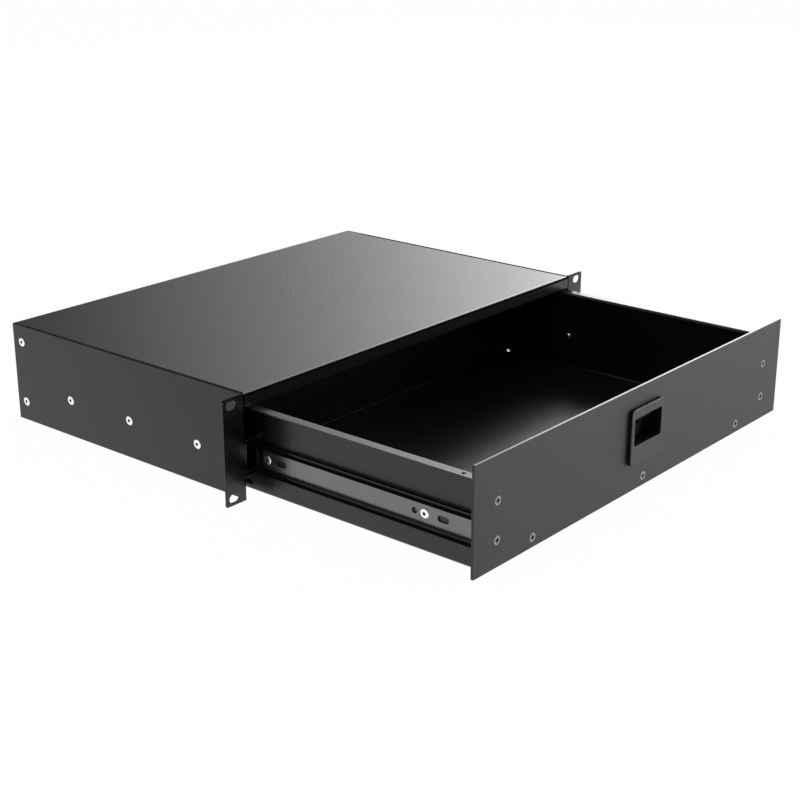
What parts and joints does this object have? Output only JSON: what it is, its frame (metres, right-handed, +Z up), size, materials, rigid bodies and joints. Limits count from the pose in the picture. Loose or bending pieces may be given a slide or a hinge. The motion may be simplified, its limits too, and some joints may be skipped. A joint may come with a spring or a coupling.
{
  "type": "sliding rack drawer",
  "caption": "Sliding drawer for a 19-inch equipment rack: folded steel housing with slotted ears, tray on ball slides, and a flat front panel with a sprung slam latch.",
  "frame": {"origin": "centre of the four ear slots, in the front plane of the rack ears; the drawer rests pulled out to its stop", "axes": "+Z up, +Y to the back of the rack, so the drawer pulls out along -Y; +X to the right, seen from the front"},
  "size_m": [0.4826, 0.513, 0.0885],
  "materials": {
    "black_powder_coat": "fine textured satin",
    "slide_zinc": "dark zinc plate, rolled",
    "rivet_aluminium": "bright satin",
    "screw_black": "black zinc",
    "nut_zinc": "bright zinc plate",
    "latch_moulding": "fine satin moulding",
    "latch_steel": "bright zinc plate",
    "spring_wire": "drawn wire",
    "bearing_ball": "polished",
    "bumper_rubber": "matt"
  },
  "bodies": {
    "housing": {"top_cover": "black_powder_coat", "rear_panel": "black_powder_coat", "left_side_panel": "black_powder_coat", "right_side_panel": "black_powder_coat", "left_outer_rail": "slide_zinc", "right_outer_rail": "slide_zinc", "left_rail_bumper": "bumper_rubber", "right_rail_bumper": "bumper_rubber", "left_slide_rivets": "rivet_aluminium", "right_slide_rivets": "rivet_aluminium", "left_rear_rivets": "rivet_aluminium", "right_rear_rivets": "rivet_aluminium"},
    "drawer": {"drawer_tray": "black_powder_coat", "front_panel": "black_powder_coat", "panel_screws": "screw_black", "panel_clinch_nuts": "nut_zinc", "left_inner_rail": "slide_zinc", "right_inner_rail": "slide_zinc", "left_rail_rivets": "rivet_aluminium", "right_rail_rivets": "rivet_aluminium", "latch_bezel": "latch_moulding", "latch_plate": "latch_steel", "latch_screws": "latch_steel", "latch_springs": "spring_wire"},
    "left_cage": {"left_ball_cage": "slide_zinc", "left_balls": "bearing_ball"},
    "right_cage": {"right_ball_cage": "slide_zinc", "right_balls": "bearing_ball"},
    "latch_slider": {"latch_bolt": "latch_moulding", "latch_trigger": "latch_moulding"}
  },
  "joints": [
    {"name": "drawer_slide", "type": "slide", "parent": "housing", "child": "drawer", "axis": [0, -1, 0], "range_m": [-0.2208, 0]},
    {"name": "left_cage_run", "type": "slide", "parent": "housing", "child": "left_cage", "axis": [0, -1, 0], "range_m": [-0.1104, 0]},
    {"name": "right_cage_run", "type": "slide", "parent": "housing", "child": "right_cage", "axis": [0, -1, 0], "range_m": [-0.1104, 0]},
    {"name": "latch_pull", "type": "slide", "parent": "drawer", "child": "latch_slider", "axis": [0, 0, -1], "range_m": [0, 0.0068], "stiffness_N_per_m": 400, "springref_m": -0.008, "deforming": ["latch_springs"]}
  ],
  "couplings": [
    {"joint": "left_cage_run", "follows": "drawer_slide", "ratio": 0.5},
    {"joint": "right_cage_run", "follows": "drawer_slide", "ratio": 0.5}
  ]
}
